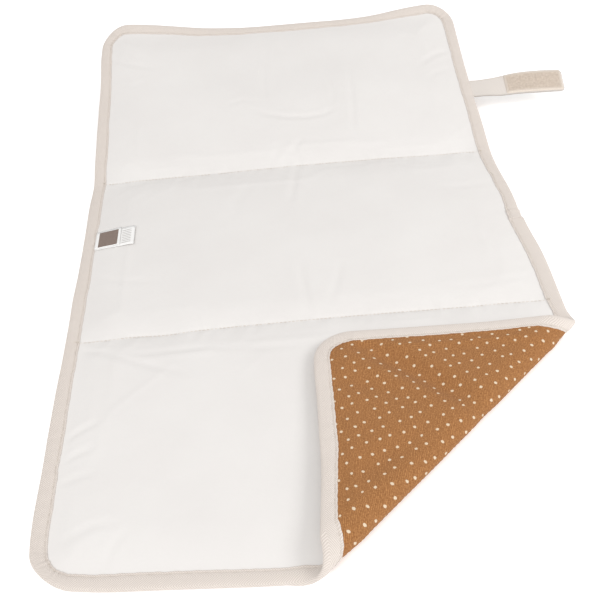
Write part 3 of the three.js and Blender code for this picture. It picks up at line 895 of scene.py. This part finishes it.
def tape_section(run, proud=0.0):
    """The tape's surface at the given distances round the pad, standing proud by a little."""
    point, inward = edge_frame(run)
    past_straight = np.abs(point) - (HALF_WIDTH - RADIUS, HALF_LENGTH - RADIUS)
    corner = ramp(past_straight.min(1), -6, 4)
    # The edge bulges outwards just past the binding's lap.
    beyond_lap = ramp(run, LAP_AT - 3, LAP_AT + 5) * (1 - ramp(run, LAP_AT + 60, LAP_AT + 130))
    shift = 0.5 * edge_wave(run) - 2.2 * beyond_lap
    lift = 0.45 * (1 + edge_lift(run)) * ramp(np.abs(point[:, 1]), 30, 60)
    pull = 0.5 + 0.5 * np.cos(2 * math.pi * run / STITCH_PITCH)
    gather = 0.32 * corner * np.cos(2 * math.pi * run / 5.2 + 1.3 * lip_fine(run))
    ripple = 0.12 * np.cos(2 * math.pi * run / 11 + 2.5 * lip_wave(run))
    rows = []
    for share, more, height in SECTION:
        out = 2 * height - 1
        face = math.copysign(1, out)
        depth = share * lip(run, face) + more
        z = np.full(len(run), EDGE * height)
        if share == 1:
            z -= face * 0.28 * pull * max(0, 1 - abs(more + STITCH_ROW)) * (abs(more + STITCH_ROW) < 0.5)
        if share > 0.25:
            z += face * (gather * min(1.0, depth.mean() / 9) + ripple)
        depth += shift * max(0, 1 - share / 0.3)
        z += lift * (1 - np.clip(depth / REACH, 0, 1))
        # Standing proud moves the section out along its own face.
        depth += proud * ((0.3 if share == 1 else 0) - 1 + abs(out))
        z = np.maximum(z + proud * out, 0.02)
        rows.append(np.column_stack([point + inward * depth[:, None], z]))
    return np.stack(rows, 1)


def tape_uv(run, section):
    across = running_total(np.linalg.norm(np.diff(section, axis=1), axis=2), axis=1)
    return flat_uv(run[:, None], across)


def binding():
    section = tape_section(path_run)
    points, uv = section.reshape(-1, 3), tape_uv(path_run, section)
    faces = grid_faces(*section.shape[:2])[:, ::-1]
    lay("edge_binding", points, faces, uv, tape, "binding_tape", ["binding"], TAPE)


# ---- Stitches ----


def stitches(centres, along, side, length, radius):
    """Short raised threads, each dipping into the cloth at both ends; side is 1 above and -1 below."""
    along = -side * np.broadcast_to(along, centres.shape)
    up = np.array([0, 0, side])
    across = np.cross(along, up)
    stations = ((-0.5, -0.55, 0.35), (-0.36, 0.25, 0.9), (0, 0.55, 1.0), (0.36, 0.25, 0.9), (0.5, -0.55, 0.35))
    around = 6
    rings = []
    for position, rise, girth in stations:
        for angle in 2 * math.pi * np.arange(around) / around:
            offset = along * position * length + up * (rise + math.sin(angle) * girth) * radius
            rings.append(centres + offset + across * math.cos(angle) * radius * girth)
    cap = np.array([[0, 1, 2, 3], [0, 3, 4, 5]])
    body = grid_faces(len(stations), around, closed=True)[:, ::-1]
    pattern = np.concatenate([body, cap, cap[:, ::-1] + (len(stations) - 1) * around])
    spread = [(position * length, k * radius) for position, _, _ in stations for k in range(around)]
    return *repeat(np.stack(rings, 1), pattern), np.tile(spread, (len(centres), 1)) * MM


ACROSS_PAD = (1.0, 0, 0)


def binding_stitches():
    run = np.arange(STITCH_PITCH / 2, PERIMETER, STITCH_PITCH)
    point, inward = edge_frame(run)
    tangent = spots(-inward[:, 1], inward[:, 0], 0)
    parts = []
    for side, level in ((1, 0.86), (-1, 0.14)):
        x, y = (point + inward * (lip(run, side) - STITCH_ROW)[:, None]).T
        parts.append(stitches(spots(x, y, EDGE * level), tangent, side, 2.3, 0.23))
    lay("binding_stitches", *join(parts), thread, "thread", ["binding_stitch"])


def quilt_stitches():
    reach = HALF_WIDTH - REACH - 1
    x = np.arange(-reach, reach, 3.3)
    tacks = HALF_WIDTH - REACH + np.array([0.6, 1.9, 3.2, 4.5])  # over the binding, at a seam's ends
    parts = []
    for y in (SEAM, -SEAM):
        for side, height in ((1, FLANGE - 0.35), (-1, 1.0)):
            parts.append(stitches(spots(x, y, height), ACROSS_PAD, side, 2.5, 0.24))
        for edge in (-1, 1):
            for row in (-0.45, 0.45):
                parts.append(stitches(spots(edge * tacks, y + row, EDGE * 0.96), ACROSS_PAD, 1, 1.5, 0.26))
    lay("quilt_stitches", *join(parts), thread, "thread", ["quilt_stitch"])


def binding_lap():
    """Where the binding's end laps its start."""
    low, high = box("binding_lap")
    top, bottom = LAP_AT - high[1], LAP_AT - low[1]
    run = [top + step for step in (-0.15, 0, 0.15, 0.8, 3, 4.2)]
    run = np.concatenate([run, np.linspace(top + 5.5, bottom - 1, 6), [bottom - 0.15, bottom, bottom + 0.1]])
    proud = [0.1, 0.5, 1.0, 1.15, 1.1, 0.8] + [0.75] * 6 + [0.7, 0.45, 0.1]
    section = np.stack([tape_section(np.array([r]), p)[0] for r, p in zip(run, proud)])
    faces = grid_faces(*section.shape[:2])[:, ::-1]
    uv = tape_uv(run, section) + (0.0011, 0.0004)
    lap = make("binding_lap_end", settle(section.reshape(-1, 3)), faces, uv, tape)
    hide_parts("binding_lap")
    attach(lap, "middle_panel")
    x = HALF_WIDTH - np.linspace(1.8, REACH - 1.4, 5)
    points, faces, uv = stitches(spots(x, high[1] - 2.6, EDGE * 0.98 + 0.95), ACROSS_PAD, 1, 2.0, 0.22)
    tack = make("binding_lap_stitches", settle(points), faces, uv, thread)
    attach(tack, "middle_panel")


# ---- The strap ----

STRAP_TIP = box("strap_end")[1][0]
STRAP_HALF = 12.5
STRAP_MIDDLE = EDGE / 2
STRAP_CORNER, STRAP_HEM = 5.0, 0.85  # how far its tip's corners and its folded hem round off
STRAP_JOINTS = {  # bodies, joint, and half a length about the joint
    "root": ("head_panel", "strap_base", pivot("strap_root")[0], 2.4),
    "tip": ("strap_base", "strap_tip", pivot("strap_bend")[0], 5.0),
}
STRAP_SPLIT = (pivot("strap_root")[0] + pivot("strap_bend")[0]) / 2


def strap_lie(x):
    """Height of the strap's middle, how far it strays sideways, and its twist, along its length."""
    t = np.clip((x - HALF_WIDTH) / 100, 0, 1)
    height = 1.5 * np.sin(2.6 * t) * t - 2.2 * t * t - 0.9 * bell(t - 0.3, 0.12)
    sideways = 0.8 * np.sin(2.3 * t + 0.4) * t - 2.6 * (1 - ramp(t, 0, 0.6))
    return height, sideways, 0.3 * ramp(t, 0.05, 0.6)


def strap_height(x, y):
    """The middle of the strap's thickness at any point on it."""
    height, stray_y, twist = strap_lie(x)
    return STRAP_MIDDLE + height + twist * (y - STRAP_Y - stray_y)


def strap_bend(piece, part):
    near, far, x, reach = STRAP_JOINTS[part]
    centre = settle([[x, STRAP_Y, STRAP_MIDDLE]])[0]
    bend(piece, near, far, centre - (reach, 0, 0), centre + (reach, 0, 0))


def round_off(distance, radius):
    """How far a rounded end falls back at a distance from its tip."""
    return radius - np.sqrt(radius**2 - np.clip(radius - distance, 0, radius) ** 2)


def strap_surface(x):
    """The two-layer tape: a flat oval section with a groove along each side between the layers."""
    half = [(-1, -0.2), (-1.006, -0.45), (-0.995, -0.85), (-0.965, -1.0)]
    half += [(s, -1.0) for s in (-0.8, -0.5, -0.17, 0.17, 0.5, 0.8)]
    half += [(-s, h) for s, h in half[3::-1]] + [(0.94, 0)]
    side, level = np.array(half + [(-s, -h) for s, h in half]).T
    x = x[:, None]
    to_tip = STRAP_TIP - x
    width = STRAP_HALF * (1 + 0.012 * np.sin(x / 7.0)) - round_off(to_tip, STRAP_CORNER) * 0.9
    thin = 1 - round_off(to_tip, STRAP_HEM) / STRAP_HEM
    y = STRAP_Y + strap_lie(x)[1] + side * width
    return spots(x, y, strap_height(x, y) + level * 0.85 * np.maximum(thin, 0.03))


def strap():
    ending = STRAP_TIP - np.array([5, 4.2, 3.4, 2.6, 1.9, 1.3, 0.85, 0.5, 0.25, 0.08, 0])
    x = np.concatenate([np.arange(HALF_WIDTH - 3, STRAP_TIP - 6, 1.5), ending])
    surface = strap_surface(x)
    rows, columns = surface.shape[:2]
    faces = grid_faces(rows, columns, closed=True)
    flat = surface.reshape(-1, 3)
    across = np.arange(columns) * 4 * STRAP_HALF / columns
    uv = flat_uv(x[:, None], across)
    points = settle(flat)
    normals = vertex_normals(points, faces)
    at_tip = flat[faces].mean(1)[:, 0] >= STRAP_SPLIT
    for name, part, chosen, nodes in (
        ("strap_near", "root", ~at_tip, ["strap_base_lower", "strap_base_upper"]),
        ("strap_far", "tip", at_tip, ["strap_end"]),
    ):
        piece = make(name, points, faces[chosen], uv, strap_tape, normals)
        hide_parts(*nodes)
        strap_bend(piece, part)


def strap_edge_stitches():
    """Rows of stitching that hold the strap's two layers together, cut where the strap divides."""
    x = np.arange(HALF_WIDTH + 1.5, STRAP_TIP - 4.5, 3.0)
    for part, chosen in (("root", x[x < STRAP_SPLIT]), ("tip", x[x >= STRAP_SPLIT])):
        parts = []
        for side in (1, -1):
            for edge in (1, -1):
                y = STRAP_Y + strap_lie(chosen)[1] + edge * (STRAP_HALF - 1.4)
                centres = spots(chosen, y, strap_height(chosen, y) + side * 0.82)
                parts.append(stitches(centres, ACROSS_PAD, side, 2.3, 0.2))
        points, faces, uv = join(parts)
        strap_bend(make(f"strap_stitches_{part}", settle(points), faces, uv, thread), part)


# ---- The hook and loop patches ----


def slab(x_low, x_high, y_low, y_high, z_low, z_high, radius=1.6, step=1.5):
    """A thin patch with rounded corners and a slightly crowned face, as a closed grid."""
    half = np.array([x_high - x_low, y_high - y_low]) / 2
    across, along = (np.linspace(-each, each, int(2 * each / step) + 1) for each in half)
    grid = np.stack(np.meshgrid(across, along), -1)
    over = np.maximum(np.abs(grid) - (half - radius), 0)
    reach = np.hypot(over[..., 0], over[..., 1])
    drawn_in = over * (1 - np.minimum(1, radius / np.maximum(reach, 1e-6)))[..., None]
    crown = ramp((half - np.abs(grid)).min(-1), -0.1, 1.4)
    px, py = np.moveaxis(grid - np.sign(grid) * drawn_in + (x_low + half[0], y_low + half[1]), -1, 0)
    upper = spots(px, py, z_low + (z_high - z_low) * (0.35 + 0.65 * crown)).reshape(-1, 3)
    lower = spots(px, py, z_low).reshape(-1, 3)
    faces = grid_faces(*px.shape)
    number = np.arange(px.size).reshape(px.shape)
    rim = np.concatenate([number[0], number[1:, -1], number[-1, -2::-1], number[-2:0:-1, 0]])
    following = np.roll(rim, -1)
    wall = np.stack([rim, rim + px.size, following + px.size, following], 1)
    points = np.concatenate([upper, lower])
    return points, np.concatenate([faces, faces[:, ::-1] + px.size, wall]), points[:, :2] * MM


def ring_stitches(x_low, x_high, y_low, y_high, height, side):
    """Stitches round the inside of a rectangle."""
    corners = [(x_low, y_low), (x_high, y_low), (x_high, y_high), (x_low, y_high)]
    centres, along = [], []
    for a, b in zip(np.array(corners), np.roll(corners, -1, axis=0)):
        length = math.dist(a, b)
        count = max(2, int(length / STITCH_PITCH))
        centres += [(*(a + (b - a) * (i + 0.5) / count), height) for i in range(count)]
        along += [(*(b - a) / length, 0)] * count
    return stitches(np.array(centres), np.array(along), side, 2.2, 0.22)


def hooks(x_low, x_high, y_low, y_high, z, height, seed, pitch=1.25):
    """A field of tiny bent posts."""
    x, y = np.meshgrid(np.arange(x_low, x_high, pitch), np.arange(y_low, y_high, pitch))
    spread = np.random.default_rng(seed)
    x = x.ravel() + spread.uniform(-0.2, 0.2, x.size)
    y = y.ravel() + spread.uniform(-0.2, 0.2, y.size)
    lean_x, lean_y = spread.uniform(-0.35, 0.35, (x.size, 2)).T
    rings = []
    for level, girth, hook in ((0, 0.34, 0), (0.6, 0.26, 0.25), (1.0, 0.16, 1.0)):
        for angle in math.pi / 4 + math.pi / 2 * np.arange(4):
            post_x = x + girth * math.cos(angle) + lean_x * hook
            post_y = y + girth * math.sin(angle) + lean_y * hook
            rings.append(spots(post_x, post_y, z + level * height))
    pattern = np.concatenate([grid_faces(3, 4, closed=True), [[8, 9, 10, 11], [3, 2, 1, 0]]])
    points, faces = repeat(np.stack(rings, 1), pattern)
    return points, faces, points[:, :2] * MM


def fastener_patch(node, x_low, half, base, facing, ground, seed):
    """A hook or loop patch, with its filaments and its stitching; facing is 1 upwards and -1 downwards."""
    edges = np.array([x_low, box(node)[1][0], STRAP_Y - half, STRAP_Y + half])
    top = base + facing * 1.0
    field = hooks(*(edges + (2.2, -2, 2.2, -2)), top, facing * 0.75, seed)
    face = join([slab(*edges, base, top), field])
    if facing < 0:
        face = (face[0], face[1][:, ::-1], face[2])
    sewn = ring_stitches(*(edges + (1.1, -1.1, 1.1, -1.1)), base + facing * 0.85, facing)
    for (points, faces, uv), material, slot, suffix, replaced in (
        (face, ground, node, "face", node),
        (sewn, thread, "thread", "thread", f"{node}_stitch"),
    ):
        if facing > 0:
            points = points + (0, 0, 0.8)
            points[:, 1] += strap_lie(points[:, 0])[1]
            points[:, 2] += strap_height(points[:, 0], points[:, 1])
        piece = make(f"{node}_{suffix}", settle(points), faces, uv, material)
        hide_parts(replaced)
        if facing > 0:
            strap_bend(piece, "tip")
        else:
            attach(piece, "head_panel")


# ---- The labels ----


def label(node, sheet, width, lift, curl_up, skew, material):
    """A ribbon sewn in at the binding that climbs the padding and lies along the panel."""
    low, high = box(node)
    centre = (low[1] + high[1]) / 2
    sheet_x, sheet_y, sheet_z = sheet
    under = sheet_z[np.abs(sheet_y - centre) < 14].max(0)
    s = np.linspace(0, 1, 21)[:, None]
    x = low[0] - 0.9 + s * (high[0] - low[0] + 1.5)
    z = np.interp(x, sheet_x, under) + lift + curl_up * s**3 + 0.1 * np.sin(7 * s)
    across = np.linspace(-0.5, 0.5, 9)
    bow = 0.6 * s * (np.abs(across) * 2) ** 3 * (0.6 + 0.6 * np.sign(across))
    bottom = spots(x, centre + across * width + skew * s * 4, z + bow)
    surface = np.concatenate([bottom + (0, 0, 0.28), bottom[:, ::-1]], 1)
    rows, columns = surface.shape[:2]
    k = np.arange(8)
    cap = np.stack([k, k + 1, columns - 2 - k, columns - 1 - k], 1)
    body = grid_faces(rows, columns, closed=True)[:, ::-1]
    faces = np.concatenate([body, cap, cap[:, ::-1] + (rows - 1) * columns])
    flat = surface.reshape(-1, 3)
    piece = make(f"{node}_ribbon", flat, faces, (flat[:, :2] - (low[0], centre)) * MM, material)
    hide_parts(node)
    hinge = pivot("label_flip")
    bend(piece, "middle_panel", "labels", hinge - (0.8, 0, 0), hinge + (5, 0, 0))


def labels(sheet):
    block = (0.0022, 0.0202), (-0.0112, 0.0112)
    print_area = (0.024, 0.0325), (-0.0105, 0.0105)
    woven = ribbon("woven_label_ribbon", srgb(112, 94, 84), srgb(140, 123, 113), *block, False)
    care = ribbon("care_label_ribbon", srgb(196, 192, 188), srgb(176, 172, 168), *print_area, True)
    label("care_label", sheet, 27.5, 0.2, 1.0, -0.15, care)
    label("woven_label", sheet, 26.0, 0.75, 0.6, 0.1, woven)


# ---- Build ----

sheet = white_top()
jersey_back()
binding()
binding_stitches()
quilt_stitches()
binding_lap()
strap()
strap_edge_stitches()
fastener_patch("hook_patch", STRAP_PATCH_START, 11.8, 0, 1, hook_ground, 21)
fastener_patch("loop_patch", box("loop_patch")[0][0], 11.0, -0.05, -1, loop_ground, 22)
labels(sheet)


# ---- Studio ----


def studio():
    reach = 6.0
    corners = [(-reach, -reach, 0), (reach, -reach, 0), (reach, reach, 0), (-reach, reach, 0)]
    floor = add_mesh("floor", corners, [(0, 1, 2, 3)])
    floor.location.z = -0.0004
    n = Nodes("pale_floor", roughness=0.9)
    n.put(n.shader, {"Emission Color": (1, 1, 1, 1), "Emission Strength": 0.28})
    floor.data.materials.append(n.finish((0.94, 0.94, 0.94, 1)))

    world = bpy.data.worlds.new("studio")
    world.use_nodes = True
    background = world.node_tree.nodes["Background"]
    background.inputs["Color"].default_value = (1, 1, 1, 1)
    background.inputs["Strength"].default_value = 0.66
    bpy.context.scene.world = world

    for name, place, size, energy in (
        ("key", (-0.85, -1.5, 1.9), 1.4, 28.5),
        ("side", (1.1, -0.4, 0.8), 0.5, 6.8),
    ):
        light = bpy.data.lights.new(name, "AREA")
        configure(light, energy=energy, size=size)
        lamp = add_object(name, light)
        configure(lamp, location=place, rotation_mode="QUATERNION")
        lamp.rotation_quaternion = (-lamp.location).to_track_quat("-Z", "Y")


def camera():
    forward = Vector((0.0206, 0.7633, -0.6457)).normalized()
    right = Vector((0.9957, -0.0737, -0.0554))
    right = (right - forward * right.dot(forward)).normalized()
    turn = Matrix((right, right.cross(forward), -forward)).transposed()
    data = bpy.data.cameras.new("camera")
    configure(data, sensor_width=36, lens=54.4, clip_start=0.01)
    made = add_object("camera", data)
    made.matrix_world = Matrix.Translation((-0.0236, -0.6641, 0.490)) @ turn.to_4x4()
    bpy.context.scene.camera = made


studio()
camera()
bpy.context.scene.view_settings.view_transform = "Standard"
bpy.context.scene.view_settings.look = "None"


def write_size():
    import json


write_size()
